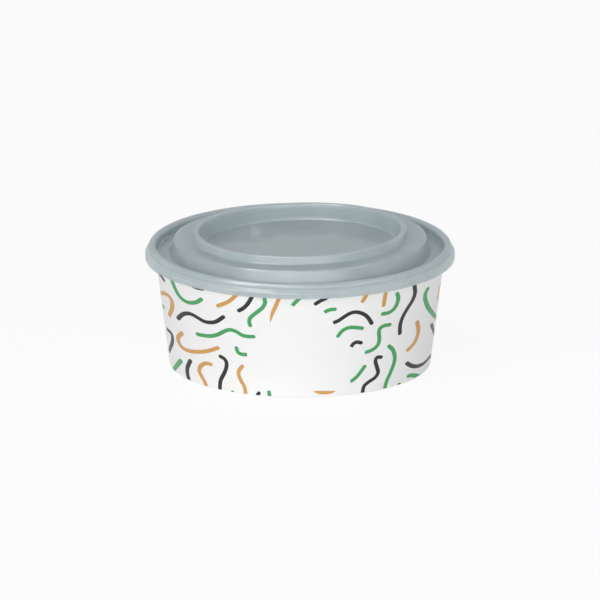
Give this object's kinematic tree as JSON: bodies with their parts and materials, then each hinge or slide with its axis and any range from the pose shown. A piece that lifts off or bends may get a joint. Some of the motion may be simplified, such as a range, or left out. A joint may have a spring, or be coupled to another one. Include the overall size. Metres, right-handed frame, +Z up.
{
  "type": "lidded paperboard salad bowl",
  "caption": "Round tapered paperboard salad bowl with a rolled rim, a recessed glued-in bottom and a grey translucent plastic lid that presses over the rim.",
  "frame": {"origin": "on the floor, under the bowl's axis", "axes": "+Z up along the bowl's axis, -Y towards the front, the wall's glued seam at +Y"},
  "size_m": [0.1886, 0.1886, 0.0831],
  "materials": {
    "printed_board": "coated board, satin, printed with green, tan and black strokes",
    "plain_board": "coated board, satin, unprinted",
    "lid_plastic": "glossy, cool grey, translucent film"
  },
  "bodies": {
    "bowl": {"side_wall": "printed_board", "base_disc": "plain_board"},
    "lid_body": {"lid": "lid_plastic"}
  },
  "joints": [
    {"name": "lid_lift", "type": "slide", "parent": "bowl", "child": "lid_body", "axis": [0, 0, 1], "range_m": [0, 0.06]}
  ]
}
